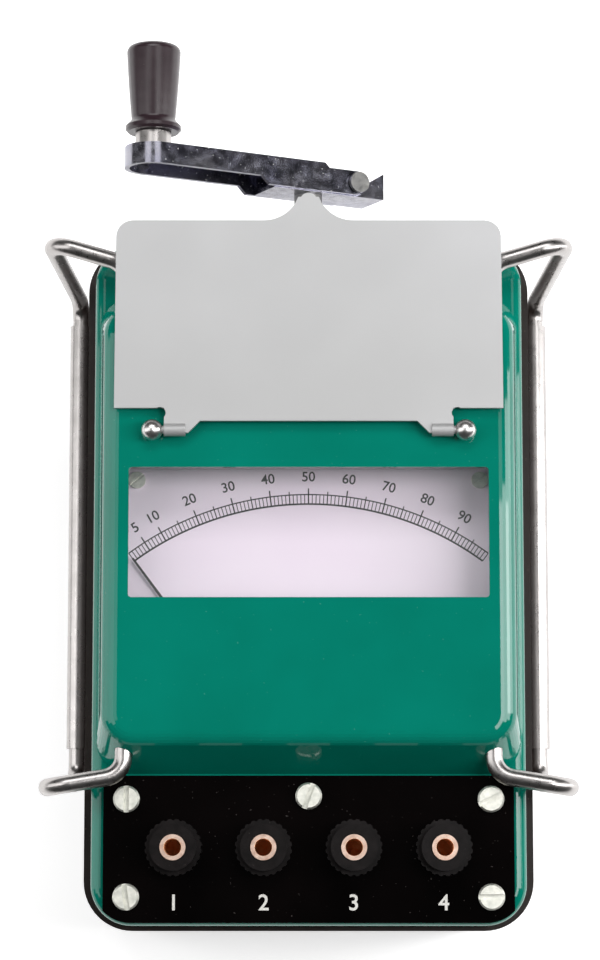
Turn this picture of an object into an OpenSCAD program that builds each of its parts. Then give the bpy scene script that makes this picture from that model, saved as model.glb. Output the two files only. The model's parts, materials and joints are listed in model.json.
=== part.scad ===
// Hand-cranked earth tester: a moulded case with a drawn sheet cover, a moving-coil meter under a
// window, four clamp terminals, two swinging wire bails, a hinged dial cover and a folding crank
// that drives a small generator through a two-stage gear train.
// X runs across the case, Y runs from the terminals to the crank, Z is up. The origin is the
// centre of the rest face under the case.

/* [Case] */
// Width of the case over its lip
body_w = 106.4; // [100:0.1:130]
// Length of the case over its lip
body_l = 165; // [160:0.5:190]
// Height of the case up to its lip
body_h = 78; // [76:0.5:90]
// Corner radius of the case in plan
body_r = 11.7; // [10:0.1:14]
// Wall thickness of the case
wall = 3.6; // [3.2:0.1:4.4]
// Thickness of the case floor
floor_t = 3; // [2.5:0.1:5]
// Height of the foot ring under the case
foot_h = 2; // [1.8:0.1:3]
// Width of the foot ring
foot_w = 6; // [4:0.5:9]
// How far the foot ring stands in from the case wall
foot_in = 2.5; // [1.5:0.5:4]
// Width of the lip left along the sides of the cover
lip_w = 1.85; // [1.4:0.05:2.4]
// Width of the lip left along the ends of the cover
lip_end = 1.05; // [0.9:0.05:1.8]
// Depth of the rebate that holds the cover
rebate = 4; // [3:0.5:6]

/* [Cover] */
// Sheet thickness of the cover
sheet = 1.2; // [1:0.1:1.6]
// Height of the shelf above the lip of the case
shelf_rise = 8; // [6:0.5:10]
// Edge radius of the shelf
shelf_edge = 2.5; // [2:0.1:4]
// Length of the near shelf, which carries the terminals
near_shelf = 35.3; // [34:0.1:38]
// Length of the far shelf, under the open dial cover
far_shelf = 13.3; // [12:0.1:16]
// Width of the shelf beside the raised part
side_shelf = 1.2; // [1:0.1:2]
// Height of the raised part above the shelf
hump_rise = 13; // [12:0.5:16]
// Corner radius of the raised part in plan
hump_r = 8; // [6:0.5:10]
// Edge radius round the top of the raised part
hump_edge = 4; // [3:0.5:5]
// Run of the near slope of the raised part
slope_near = 5.5; // [4:0.5:7]
// Run of the far slope of the raised part
slope_far = 3; // [2:0.5:5]
// Run of the side slopes of the raised part
slope_side = 1.5; // [1:0.1:2.5]

/* [Window] */
// Distance from the sides of the raised part to the window
window_side = 7.9; // [7:0.1:11]
// Length of the window
window_l = 30.6; // [26:0.1:33]
// Corner radius of the window
window_r = 0.8; // [0.5:0.1:2]
// Distance from the foot of the near slope to the window
window_in = 40.5; // [36:0.5:44]
// Thickness of the window pane
pane_t = 2; // [1.5:0.1:2.5]
// How far the pane reaches past the window on each side
pane_lap = 2.3; // [1.8:0.1:2.4]
// Distance from the corners of the window to the clips that hold the pane
clip_in = 12; // [8:0.5:20]
// Sheet thickness of those clips
clip_t = 1; // [0.8:0.1:1.4]

/* [Dial] */
// Thickness of the dial plate
dial_t = 1; // [0.8:0.1:1.5]
// Depth of the dial face below the top of the raised part
dial_depth = 18; // [17.5:0.1:18.2]
// Distance from the sides of the raised part to the dial plate
dial_side = 4; // [3.5:0.1:6]
// How far the dial plate reaches past the window at each end
dial_lap = 7; // [5:0.5:8]
// Width of the foot of each dial rail
rail_w = 10; // [8:0.5:11]
// Height of each dial rail
rail_h = 9; // [7:0.5:11]
// Sheet thickness of the dial rails
rail_t = 1; // [0.8:0.1:1.4]
// Shank radius of the dial screws
dial_screw_r = 0.9; // [0.7:0.1:1.2]
// Head radius of the dial screws
dial_head_r = 2; // [1.6:0.1:2.2]
// Head height of the dial screws
dial_head_h = 0.9; // [0.6:0.1:1]

/* [Meter] */
// Distance of the meter axis from the far edge of the terminal panel
pivot_in = 4.8; // [4:0.1:6]
// Length of the pointer from its axis to its tip
pointer_l = 70.5; // [60:0.5:72]
// Half of the angle that the pointer sweeps
pointer_half = 36.5; // [30:0.5:38]
// Height of the pointer above the dial face
pointer_gap = 1.2; // [0.8:0.1:1.3]
// Thickness of the pointer
pointer_t = 0.4; // [0.3:0.05:0.6]
// Radius of the fixed iron core
core_r = 6.5; // [5:0.1:7]
// Height of the core and of the pole ring
core_h = 20; // [16:0.5:24]
// Radial room between core and pole ring for the coil
coil_gap = 3; // [2.6:0.1:3.5]
// Outer radius of the pole ring
pole_r = 22; // [18:0.5:24]
// Depth of the pole ring below the shelf
pole_drop = 19; // [18:0.5:22]
// Radius of the coil pivots
staff_r = 0.8; // [0.6:0.05:1]
// Distance of the hanging pillars from the meter axis
pillar_x = 18; // [16:0.5:19]
// Radius of the hanging pillars
hanger_r = 2.4; // [2:0.1:2.8]
// Height of the bridges that carry the pivots, over the pole ring
bridge_rise = 5; // [4:0.5:6]
// Thickness of the bridges
bridge_t = 1.5; // [1.2:0.1:2]

/* [Terminals] */
// Thickness of the terminal panel
panel_t = 2.3; // [2:0.1:3]
// Distance from the sides of the cover to the terminal panel
panel_side = 3.15; // [2.8:0.05:5]
// Distance from the near end of the cover to the terminal panel
panel_edge = 0.7; // [0.5:0.1:1.2]
// Gap between the terminal panel and the raised part
panel_gap = 0.4; // [0.2:0.1:1]
// Distance of the far panel screws from the far edge of the panel
panel_screw_in = 5.5; // [5:0.1:7]
// Spacing of the terminals
term_pitch = 21; // [19:0.25:21.5]
// Radius of each terminal post, which is the outside of its thread
post_r = 3; // [2.8:0.1:3.4]
// Radius of the plug socket in each post
socket_r = 2; // [1.9:0.05:2.1]
// Depth of the plug socket
socket_d = 13; // [10:0.5:14]
// Radius of the shoulder at the foot of each post
shoulder_r = 5.2; // [4.6:0.1:5.6]
// Height of that shoulder
shoulder_h = 1.2; // [1:0.1:2]
// Thickness of the loose clamp washer
washer_t = 0.8; // [0.6:0.1:1.2]
// Radius of the knurled flange of each clamp cap
cap_r = 6.6; // [6:0.1:7.5]
// Radius of the upper step of each clamp cap
cap_top_r = 5.4; // [4.6:0.1:5.8]
// Height of each clamp cap
cap_h = 5.4; // [4.5:0.1:7]
// Height of the knurled flange
cap_flange_h = 2.6; // [2:0.1:3.5]
// Number of flutes round the knurled flange
cap_flutes = 24; // [18:1:30]
// Height of the post above its closed cap
post_proud = 0.5; // [0.3:0.1:1.5]
// Length of the post below the cover
post_tail = 9; // [7:0.5:12]
// Room round each post where it passes the cover
post_room = 2; // [1.5:0.1:2.5]
// Radius of the insulating washers under the cover
fibre_r = 7.5; // [6.5:0.1:8]
// Thickness of the insulating washers under the cover
fibre_t = 1.5; // [1:0.1:2.5]
// Radius of the terminal nuts over their corners
nut_r = 5.6; // [5.2:0.1:6]
// Thickness of the terminal nuts
nut_t = 3.5; // [2.5:0.1:4]
// Radius of the nuts on the far panel screws over their corners
panel_nut_r = 3.5; // [3.3:0.1:3.8]
// Thickness of the nuts on the far panel screws
panel_nut_t = 2.4; // [2:0.1:3]

/* [Screws] */
// Shank radius of the panel and base screws
screw_r = 1.7; // [1.5:0.05:2]
// Head radius of those screws
head_r = 3.1; // [2.8:0.1:3.4]
// Head height of those screws
head_h = 1.6; // [1.4:0.1:1.7]
// Width of the screw slots
slot_w = 1.2; // [0.8:0.1:1.3]
// Depth of the screw slots
slot_d = 1; // [0.6:0.1:1.1]
// Chamfer round the screw heads
head_cut = 0.4; // [0.2:0.05:0.5]
// Depth of the tapped holes
tap_d = 9; // [7:0.5:12]
// Room left under the end of a screw in its tapped hole
tap_room = 1; // [0.5:0.1:2]
// Radius of the posts that tie the cover to the case floor
tie_r = 3.9; // [3.6:0.1:4]
// Distance of those posts from the sides of the cover
tie_in_x = 8.6; // [8:0.1:10]
// Distance of those posts from the ends of the cover
tie_in_y = 6.7; // [6.4:0.1:7.4]

/* [Dial cover] */
// Distance from the sides of the raised part to the dial cover
lid_side = 4.5; // [3:0.1:6]
// Length of the dial cover from its hinge axis to its free edge
lid_l = 50.9; // [46:0.1:54]
// Sheet thickness of the dial cover
lid_t = 1; // [0.8:0.1:1.2]
// Corner radius at the free edge
lid_r = 4; // [2:0.5:6]
// Length of the finger tab
tab_l = 6.8; // [5:0.1:8]
// Half width of the finger tab at its root
tab_half = 10.6; // [8:0.1:12]
// Distance of the hinge axis from the window
hinge_in = 8.3; // [7.5:0.1:10]
// Height of the hinge axis above the raised part
hinge_rise = 2.9; // [2.8:0.1:3.6]
// Distance from the sides of the raised part to the hinge balls
hinge_side = 13.4; // [12.5:0.1:16]
// Radius of the hinge balls
ball_r = 2.5; // [2.3:0.1:2.7]
// Radius of the hinge pins
hinge_pin_r = 0.95; // [0.8:0.05:1.1]
// Radius of the hinge studs
stud_r = 1.6; // [1.4:0.1:1.9]

/* [Bails] */
// Radius of the bail wire
wire_r = 2.05; // [1.7:0.05:2.2]
// Distance from the sides of the raised part to the bail axes
bail_in = 6.9; // [6.5:0.1:8]
// Height of the bail axis above the shelf
bail_rise = 7.2; // [6.5:0.1:8]
// Distance from the sides of the case to the shoulders of the bails
shoulder_out = 8.4; // [7:0.1:12]
// Height of those shoulders above the bail axis
shoulder_rise = 2; // [0:0.1:2.5]
// How far the near shoulder splays beyond its pivot
splay_near = 3.2; // [1:0.1:5]
// How far the far shoulder splays beyond its pivot
splay_far = 5.1; // [1:0.1:6]
// Distance from the sides of the case to the grip bars
grip_out = 4.15; // [3.8:0.05:8]
// Drop of the grip bar below the bail axis
grip_drop = 47.7; // [44:0.1:52]
// Bend radius of the wire
bend_r = 5; // [4:0.1:5.5]
// Length of the near pivot outside the cover
pivot_near = 4.8; // [4.6:0.1:6]
// Length of the far pivot outside the cover
pivot_far = 9; // [6:0.1:10]
// Length of both pivots inside the cover
pivot_inside = 8; // [7:0.5:10]
// Thickness of the collars that keep the pivots in place
collar_t = 2; // [1.5:0.1:3]
// How far those collars stand out from the wire
collar_out = 1.2; // [1:0.1:1.5]
// Outer radius of the grip sleeve
sleeve_r = 2.65; // [2.6:0.05:3.2]
// Distance from the near end of the grip bar to the sleeve
sleeve_near = 8.5; // [6:0.5:14]
// Distance from the far end of the grip bar to the sleeve
sleeve_far = 6; // [5.5:0.5:14]
// Width of the seam along the sleeve
seam_w = 0.6; // [0.3:0.1:1]

/* [Crank] */
// Height of the crankshaft above the rest face
crank_z = 56; // [54:0.5:58]
// Angle of the crank at rest, up from level
crank_angle = 28; // [0:1:60]
// Distance from the crankshaft to the grip
crank_l = 43; // [40:0.5:46]
// Radius of the crankshaft
shaft_r = 3.5; // [3:0.1:4]
// Distance from the case to the hub bracket
hub_out = 17.4; // [15:0.1:22]
// Wall of the bush that carries the crankshaft
bush_t = 2.5; // [2:0.1:3]
// How much the crankshaft steps down to its threaded end
shaft_step = 1; // [0.8:0.1:1.2]
// Thickness of the hub nut
hub_nut_t = 3.2; // [2.5:0.1:3.4]
// Width of the hub bracket
bracket_w = 11.2; // [10.5:0.1:13]
// Depth of the hub bracket
bracket_d = 5.8; // [5.6:0.1:7]
// Length of the hub bracket on the grip's side of the crankshaft
bracket_front = 12.4; // [9:0.1:14]
// Length of the hub bracket on the other side
bracket_back = 18.6; // [17.5:0.1:20]
// Depth of the bracket at its raised end
bracket_end = 6.6; // [6:0.1:7]
// Sheet thickness of the bracket and of the arm
crank_t = 1.2; // [1:0.1:1.5]
// Side clearance between the bracket and the arm
arm_fit = 0.2; // [0.15:0.05:0.4]
// Gap between the web of the arm and the bracket
arm_gap = 0.4; // [0.3:0.1:0.8]
// Distance of the fold pin behind the crankshaft
fold_in = 10.4; // [10:0.1:11.4]
// Radius of the fold pin
fold_pin_r = 1.5; // [1.2:0.1:1.7]
// Depth of the arm at its grip end
arm_shallow = 5.2; // [4:0.1:6]
// Depth of the arm at its hub end
arm_deep = 7.2; // [6.8:0.1:7.4]
// Distance from the crankshaft to the step between the two depths
arm_step = 14.4; // [12:0.1:18]
// Height of the collar between the arm and the grip
collar_h = 3.6; // [1.5:0.1:4.5]
// Length of the grip
knob_l = 21.7; // [19:0.1:28]
// Radius of the grip near its outer end
knob_top_r = 6.6; // [5.8:0.1:7.5]
// Radius of the grip at its waist
knob_waist_r = 5.4; // [4.8:0.1:5.6]
// Radius of the ring at the foot of the grip
knob_ring_r = 6.8; // [6:0.1:8]
// Radius of the spindle inside the grip
spindle_r = 2.5; // [2:0.1:3]

/* [Gear train] */
// Tooth module
gear_m = 0.8; // [0.75:0.05:0.8]
// Teeth on the crank wheel
crank_teeth = 54; // [48:1:54]
// Teeth on the two pinions
pinion_teeth = 12; // [12:1:14]
// Teeth on the second wheel
second_teeth = 48; // [42:1:48]
// Face width of the wheels
wheel_w = 4; // [3:0.5:5]
// Radius of the arbors
arbor_r = 2; // [1.6:0.1:2.4]
// Distance between the two gear plates
plate_gap = 19; // [18:0.5:22]
// Thickness of the gear plates
plate_t = 2; // [1.5:0.1:3]
// Distance from the case wall to the far gear plate
plate_in = 4; // [3:0.5:6]
// Length of the bent foot of each gear plate
plate_foot = 10; // [8:0.5:12]
// Radius of the pillars between the gear plates
pillar_r = 3; // [2.5:0.1:3.5]
// Wall of the wheel hubs
hub_t = 3; // [2:0.1:3.5]
// Width of the wheel rims inside the teeth
rim_t = 2.5; // [1.8:0.1:3]
// Gap left between the wheels and what they turn beside
wheel_gap = 2; // [1.5:0.1:2.5]
// Backlash between the teeth
backlash = 0.16; // [0.12:0.01:0.2]

/* [Generator] */
// Outer radius of the generator yoke
yoke_r = 24; // [22:0.5:25]
// Wall of the yoke
yoke_t = 3.5; // [3:0.1:4.5]
// Thickness of the field magnets
magnet_t = 3.6; // [3:0.1:4.5]
// Air gap round the armature
air_gap = 0.6; // [0.4:0.05:1]
// Length of the yoke
yoke_l = 38; // [36:0.5:44]
// Length of the armature core
armature_l = 24; // [18:0.5:26]
// Radius of the commutator
commutator_r = 6; // [5:0.1:7]
// Distance from the yoke to the end bracket
end_gap = 14; // [13:0.5:18]
// Thickness of the end bracket
end_t = 3; // [2:0.1:4]
// Length of the commutator
commutator_l = 8; // [6:0.5:9]
// Length of the winding heads at the ends of the armature
head_l = 4; // [3:0.5:5]

/* [Fits] */
// Gap all round between the cover and its rebate
cover_gap = 0.15; // [0.1:0.05:0.2]
// Radial clearance of running fits
run_fit = 0.05; // [0.02:0.01:0.08]
// Radial clearance of screws in plain holes
hole_fit = 0.3; // [0.2:0.05:0.5]
// Gap between parts that lie close and move
rest_gap = 0.3; // [0.2:0.05:0.5]

/* [Hidden] */
$fn = 48;
eps = 0.01;
cover_w = body_w - 2 * (lip_w + cover_gap);
cover_l = body_l - 2 * (lip_end + cover_gap);
cover_r = body_r - lip_w - cover_gap;
floor_z = foot_h + floor_t;
seat_z = body_h - rebate;
shelf_z = body_h + shelf_rise;
under_z = shelf_z - sheet;
top_z = shelf_z + hump_rise;
roof_z = top_z - sheet;
hump_near = near_shelf - cover_l / 2;
hump_far = cover_l / 2 - far_shelf;
hump_w = cover_w - 2 * side_shelf;
window_w = hump_w - 2 * window_side;
window_near = hump_near + window_in;
window_far = window_near + window_l;
window_y = (window_near + window_far) / 2;
panel_z = shelf_z + panel_t;
panel_w = cover_w - 2 * panel_side;
panel_far = hump_near - panel_gap;
pivot_y = panel_far - pivot_in;
dial_w = hump_w - 2 * dial_side;
dial_z = top_z - dial_depth;
pointer_z = dial_z + pointer_gap;
tie_x = cover_w / 2 - tie_in_x;
tie_y = cover_l / 2 - tie_in_y;
screw_far = panel_far - panel_screw_in;
screw_near = -tie_y;
term_y = (screw_far + screw_near) / 2;
term_x = [for (i = [0:3]) (i - 1.5) * term_pitch];
washer_z = panel_z + shoulder_h;
cap_z = washer_z + washer_t;
post_z = cap_z + cap_h + post_proud;
lid_w = hump_w - 2 * lid_side;
hinge_x = hump_w / 2 - hinge_side;
hinge_y = window_far + hinge_in;
hinge_z = top_z + hinge_rise;
lid_rest = hump_far - slope_far - hump_edge;
lid_tilt = atan((hinge_rise - lid_t / 2 - rest_gap) / (lid_rest - hinge_y));
bail_x = hump_w / 2 - bail_in;
bail_z = shelf_z + bail_rise;
shoulder_x = body_w / 2 + shoulder_out;
grip_x = body_w / 2 + grip_out;
grip_z = bail_z - grip_drop;
near_face = hump_near + slope_near * bail_rise / (hump_rise - hump_edge);
far_face = hump_far - slope_far * bail_rise / (hump_rise - hump_edge);
bend_swell = 0.03;
bend_lap = 0.1;
wall_y = body_l / 2;
bracket_y = wall_y + hub_out;
arm_w = bracket_w + 2 * (arm_fit + crank_t);
arm_y = bracket_y + bracket_d + arm_gap + crank_t;
fold_r = (arm_deep - crank_t) / 2;
fold_y = arm_y - crank_t - fold_r;
fold_sweep = norm([bracket_back - fold_in, bracket_y + bracket_end - fold_y]) + 2 * arm_gap;
web_from = sqrt(pow(fold_sweep, 2) - pow(fold_r, 2)) - fold_in;
grip_base = collar_h + rest_gap;
grip_tip = grip_base + knob_l;
far_plate = wall_y - wall - plate_in;
near_plate = far_plate - plate_t - plate_gap;
plate_side = 1.5;
plate_w = 2 * (tie_x - tie_r - plate_side);
plate_over = 14;
plate_top = crank_z + plate_over;
pressure = 25;
gear_head = 0.9;
gear_foot = 1.2;
second_dist = gear_m * (crank_teeth + pinion_teeth) / 2;
rotor_dist = gear_m * (second_teeth + pinion_teeth) / 2;
second_dir = 210.5;
rotor_dir = -25;
second_x = second_dist * cos(second_dir);
second_z = crank_z + second_dist * sin(second_dir);
rotor_x = second_x + rotor_dist * cos(rotor_dir);
rotor_z = second_z + rotor_dist * sin(rotor_dir);
first_wheel_y = far_plate - plate_t - wheel_gap;
second_wheel_y = near_plate + hub_t + wheel_w;
yoke_end = near_plate - plate_t - yoke_l;
armature_r = yoke_r - yoke_t - magnet_t - air_gap;
armature_far = near_plate - plate_t - (yoke_l - armature_l) / 2;
armature_near = armature_far - armature_l;
end_y = yoke_end - end_gap;
pole_top = under_z - pole_drop;
pole_low = pole_top - core_h;
pole_bore = core_r + coil_gap;

// Outline of a rectangle with round corners
module outline(w, l, r) {
  square([w - 2 * r, l], center = true);
  square([w, l - 2 * r], center = true);
  at_corners(w - 2 * r, l - 2 * r) circle(r = r);
}

// Copies at the four corners of a rectangle
module at_corners(w, l) {
  for (x = [-w / 2, w / 2], y = [-l / 2, l / 2]) translate([x, y, 0]) children();
}

// A flat piece in the XZ plane whose far side lies at y
module facing(y) {
  translate([0, y, 0]) rotate([90, 0, 0]) children();
}

// A rod along Y from y0 to y1
module rod_y(x, z, y0, y1, r) {
  translate([x, y0, z]) rotate([-90, 0, 0]) cylinder(r = r, h = y1 - y0);
}

// A rod along X from x0 to x1
module rod_x(y, z, x0, x1, r) {
  translate([x0, y, z]) rotate([0, 90, 0]) cylinder(r = r, h = x1 - x0);
}

// Cheese-head screw with its head on z = 0 and its shank below
module slotted_screw(shank, turn) {
  difference() {
    union() {
      cylinder(r = head_r, h = head_h - head_cut);
      translate([0, 0, head_h - head_cut]) cylinder(r1 = head_r, r2 = head_r - head_cut, h = head_cut);
    }
    rotate(turn) translate([-head_r - 1, -slot_w / 2, head_h - slot_d])
      cube([2 * head_r + 2, slot_w, head_h]);
  }
  translate([0, 0, -shank]) cylinder(r = screw_r, h = shank);
}

// Case

// Outline of the case, stepped in by t
module case_outline(t) {
  outline(body_w - 2 * t, body_l - 2 * t, body_r - t);
}

module base_case() {
  foot_out = foot_in + foot_w;
  color([0.07, 0.06, 0.06]) difference() {
    union() {
      translate([0, 0, foot_h]) linear_extrude(body_h - foot_h) case_outline(0);
      linear_extrude(foot_h + eps) difference() {
        case_outline(foot_in);
        outline(body_w - 2 * foot_out, body_l - 2 * foot_out, body_r - foot_in - foot_w / 2);
      }
    }
    translate([0, 0, floor_z]) linear_extrude(body_h) case_outline(wall);
    translate([0, 0, seat_z]) linear_extrude(body_h)
      outline(cover_w + 2 * cover_gap, cover_l + 2 * cover_gap, cover_r + cover_gap);
    at_corners(2 * tie_x, 2 * tie_y) translate([0, 0, -1]) {
      cylinder(r = screw_r + hole_fit, h = floor_z + 2);
      cylinder(r = head_r + hole_fit, h = foot_h + 1);
    }
    rod_y(0, crank_z, wall_y - wall - 1, wall_y + 1, shaft_r + bush_t);
  }
}

module base_screws() {
  color("silver") at_corners(2 * tie_x, 2 * tie_y) translate([0, 0, foot_h]) rotate([180, 0, 0])
    slotted_screw(floor_t + tap_d - tap_room, 30);
}

module tie_posts() {
  color("gray") at_corners(2 * tie_x, 2 * tie_y) difference() {
    translate([0, 0, floor_z]) cylinder(r = tie_r, h = under_z - floor_z);
    translate([0, 0, floor_z - 1]) cylinder(r = screw_r + run_fit, h = tap_d + 1);
    translate([0, 0, under_z - tap_d]) cylinder(r = screw_r + run_fit, h = tap_d + 1);
  }
}

// Cover

// A ring of round section on z = 0, whose outside has radius r
module edge_ring(r, edge) {
  rotate_extrude() translate([r - edge, 0]) circle(r = edge, $fn = 32);
}

// The shelf of the cover, stepped in by t
module shelf_form(t) {
  edge = shelf_edge - t;
  r = cover_r - t;
  hull() {
    at_corners(cover_w - 2 * cover_r, cover_l - 2 * cover_r) {
      translate([0, 0, shelf_z - t - edge]) edge_ring(r, edge);
      translate([0, 0, seat_z - t]) cylinder(r = r, h = 1);
    }
  }
}

// The raised part of the cover, stepped in by t
module hump_form(t) {
  r = hump_r - t;
  flank = hump_w / 2 - hump_r;
  hull() {
    for (x = [-flank, flank], y = [hump_near + hump_r, hump_far - hump_r])
      translate([x, y, under_z - t - 1]) cylinder(r = r, h = sheet + 1);
    for (x = [slope_side - flank, flank - slope_side])
      for (y = [hump_near + slope_near + hump_r, hump_far - slope_far - hump_r])
        translate([x, y, top_z - hump_edge]) edge_ring(r, hump_edge - t);
  }
}

// Holes through the shelf of the cover, of radius r
module shelf_hole(x, y, r) {
  translate([x, y, under_z - 1]) cylinder(r = r, h = sheet + 2);
}

module cover() {
  color([0.03, 0.52, 0.43]) difference() {
    union() {
      shelf_form(0);
      hump_form(0);
    }
    shelf_form(sheet);
    hump_form(sheet);
    translate([0, window_y, roof_z - 1]) linear_extrude(sheet + 2) outline(window_w, window_l, window_r);
    for (x = term_x) shelf_hole(x, term_y, post_r + post_room);
    for (x = [-tie_x, tie_x], y = [screw_far, screw_near, tie_y]) shelf_hole(x, y, screw_r + hole_fit);
    shelf_hole(0, pivot_y, screw_r + hole_fit);
    for (x = [-hinge_x, hinge_x])
      translate([x, hinge_y, roof_z - 1]) cylinder(r = stud_r + run_fit, h = sheet + 2);
    for (x = [-bail_x, bail_x]) {
      rod_y(x, bail_z, hump_near - 1, near_face + pivot_inside, wire_r + run_fit);
      rod_y(x, bail_z, far_face - pivot_inside, hump_far + 1, wire_r + run_fit);
    }
  }
}

module window_pane() {
  color([0.8, 0.9, 0.9, 0.4]) translate([0, window_y, roof_z - pane_t])
    linear_extrude(pane_t) outline(window_w + 2 * pane_lap, window_l + 2 * pane_lap, 2 * window_r);
}

// Two angles: the upright rests on the inside of the cover, the leaf holds the pane
module pane_clips() {
  clip_l = window_w - 2 * clip_in;
  low = roof_z - pane_t - clip_t;
  leaf = pane_lap + 2 * clip_t;
  color("gray") for (s = [0, 1]) translate([0, window_y, low]) mirror([0, s, 0]) {
    edge = window_l / 2 + pane_lap;
    translate([-clip_l / 2, edge + rest_gap, 0]) cube([clip_l, 2 * clip_t, pane_t + clip_t]);
    translate([-clip_l / 2, edge + rest_gap + 2 * clip_t - leaf, 0]) cube([clip_l, leaf, clip_t]);
  }
}

// Inside of the raised part's side wall at height z
function side_wall(z) =
  hump_w / 2 - sheet - slope_side * max(0, z - under_z) / (top_z - hump_edge - under_z);

module dial_rails() {
  low = dial_z - dial_t;
  foot = low - rail_t;
  top = foot + rail_h;
  wide = side_wall(under_z);
  color("gray") difference() {
    for (s = [0, 1]) mirror([s, 0, 0]) facing(window_far + dial_lap)
      linear_extrude(window_l + 2 * dial_lap) polygon([
        [wide - rail_w, foot], [wide, foot], [wide, under_z], [side_wall(top), top],
        [side_wall(top) - rail_t, top], [wide - rail_t, under_z], [wide - rail_t, low], [wide - rail_w, low]
      ]);
    dial_places() translate([0, 0, -dial_t - rail_t - 1])
      cylinder(r = dial_screw_r + run_fit, h = rail_t + 2);
  }
}

// Places of the dial screws, on the face of the dial
module dial_places() {
  for (x = [-1, 1], y = [window_near - dial_head_r - 1, window_far - dial_head_r / 3])
    translate([x * (dial_w / 2 - 5), y, dial_z]) children();
}

module dial_plate() {
  color([0.9, 0.89, 0.94]) difference() {
    translate([0, window_y, dial_z - dial_t]) linear_extrude(dial_t)
      outline(dial_w, window_l + 2 * dial_lap - 1, 1);
    dial_places() translate([0, 0, -dial_t - 1]) cylinder(r = dial_screw_r + run_fit, h = dial_t + 2);
  }
}

module dial_screws() {
  shank = dial_t + rail_t + 1.5;
  slot = 0.6;
  color("silver") dial_places() {
    difference() {
      cylinder(r = dial_head_r, h = dial_head_h);
      rotate(40) translate([-dial_head_r - 1, -slot / 2, dial_head_h / 2])
        cube([2 * dial_head_r + 2, slot, dial_head_h]);
    }
    translate([0, 0, -shank]) cylinder(r = dial_screw_r, h = shank);
  }
}

// Terminals

module terminal_panel() {
  color([0.04, 0.03, 0.03]) translate([0, 0, shelf_z]) linear_extrude(panel_t) difference() {
    intersection() {
      outline(cover_w - 2 * panel_edge, cover_l - 2 * panel_edge, cover_r - panel_edge);
      translate([-panel_w / 2, -cover_l / 2]) square([panel_w, cover_l / 2 + panel_far]);
    }
    for (x = term_x) translate([x, term_y]) circle(r = post_r + run_fit);
    for (x = [-tie_x, tie_x], y = [screw_far, screw_near])
      translate([x, y]) circle(r = screw_r + hole_fit);
    translate([0, pivot_y]) circle(r = screw_r + run_fit);
  }
}

module cover_screws() {
  color("silver") for (x = [-tie_x, tie_x]) {
    translate([x, screw_near, panel_z]) slotted_screw(panel_t + sheet + tap_d - tap_room, x < 0 ? 98 : 0);
    translate([x, screw_far, panel_z]) slotted_screw(panel_t + sheet + panel_nut_t, x < 0 ? 90 : 25);
    translate([x, tie_y, shelf_z]) slotted_screw(sheet + tap_d - tap_room, 20);
  }
}

module panel_nuts() {
  color("gray") for (x = [-tie_x, tie_x]) translate([x, screw_far, under_z - panel_nut_t]) difference() {
    cylinder(r = panel_nut_r, h = panel_nut_t, $fn = 6);
    translate([0, 0, -1]) cylinder(r = screw_r + run_fit, h = panel_nut_t + 2);
  }
}

module zero_adjuster() {
  tail = 0.8;
  clip = 0.6;
  color("silver") translate([0, pivot_y, 0]) {
    translate([0, 0, panel_z]) slotted_screw(panel_t + sheet + tail, 70);
    translate([0, 0, under_z - tail]) cylinder(r = screw_r + 1, h = clip);
  }
}

module terminal_posts() {
  tip = socket_r * 0.6;
  low = under_z - post_tail;
  color([0.72, 0.53, 0.3]) for (x = term_x) translate([x, term_y, 0]) difference() {
    union() {
      translate([0, 0, low]) cylinder(r = post_r, h = post_z - low);
      translate([0, 0, panel_z]) cylinder(r = shoulder_r, h = shoulder_h);
    }
    translate([0, 0, post_z - socket_d]) cylinder(r = socket_r, h = socket_d + 1);
    translate([0, 0, post_z - socket_d - tip]) cylinder(r1 = 0, r2 = socket_r, h = tip);
  }
}

module terminal_washers() {
  color([0.3, 0.2, 0.15]) for (x = term_x) translate([x, term_y, under_z - fibre_t]) difference() {
    cylinder(r = fibre_r, h = fibre_t);
    translate([0, 0, -1]) cylinder(r = post_r + run_fit, h = fibre_t + 2);
  }
}

module terminal_nuts() {
  color([0.72, 0.53, 0.3]) for (x = term_x) translate([x, term_y, under_z - fibre_t - nut_t]) difference() {
    cylinder(r = nut_r, h = nut_t, $fn = 6);
    translate([0, 0, -1]) cylinder(r = post_r + run_fit, h = nut_t + 2);
  }
}

module clamp_washer(i) {
  color("silver") translate([term_x[i], term_y, washer_z]) difference() {
    cylinder(r = cap_top_r, h = washer_t);
    translate([0, 0, -1]) cylinder(r = post_r + run_fit, h = washer_t + 2);
  }
}

module clamp_cap(i) {
  flute = 0.6;
  color([0.05, 0.05, 0.05]) translate([term_x[i], term_y, cap_z]) difference() {
    union() {
      cylinder(r = cap_r, h = cap_flange_h);
      cylinder(r = cap_top_r, h = cap_h);
    }
    translate([0, 0, -1]) cylinder(r = post_r + run_fit, h = cap_h + 2);
    for (k = [1:cap_flutes]) rotate(k * 360 / cap_flutes) translate([cap_r + flute / 2, 0, -1])
      cylinder(r = flute, h = cap_flange_h + 2, $fn = 16);
  }
}

// Dial cover and its hinge

module hinge_studs() {
  flange = 2.2;
  color("silver") for (s = [0, 1]) mirror([s, 0, 0]) difference() {
    translate([hinge_x, hinge_y, 0]) {
      translate([0, 0, hinge_z]) sphere(r = ball_r);
      translate([0, 0, roof_z - flange / 2]) cylinder(r = stud_r, h = hinge_z - roof_z + flange / 2);
      translate([0, 0, roof_z - flange]) cylinder(r = 2 * stud_r, h = flange);
    }
    rod_x(hinge_y, hinge_z, hinge_x - ball_r - 1, hinge_x + rest_gap, hinge_pin_r + run_fit);
  }
}

// Outer end of the ears that carry the hinge pins
ear_out = hinge_x - ball_r - rest_gap;
ear_w = 5.6;
knuckle_r = 1.5;

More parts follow.
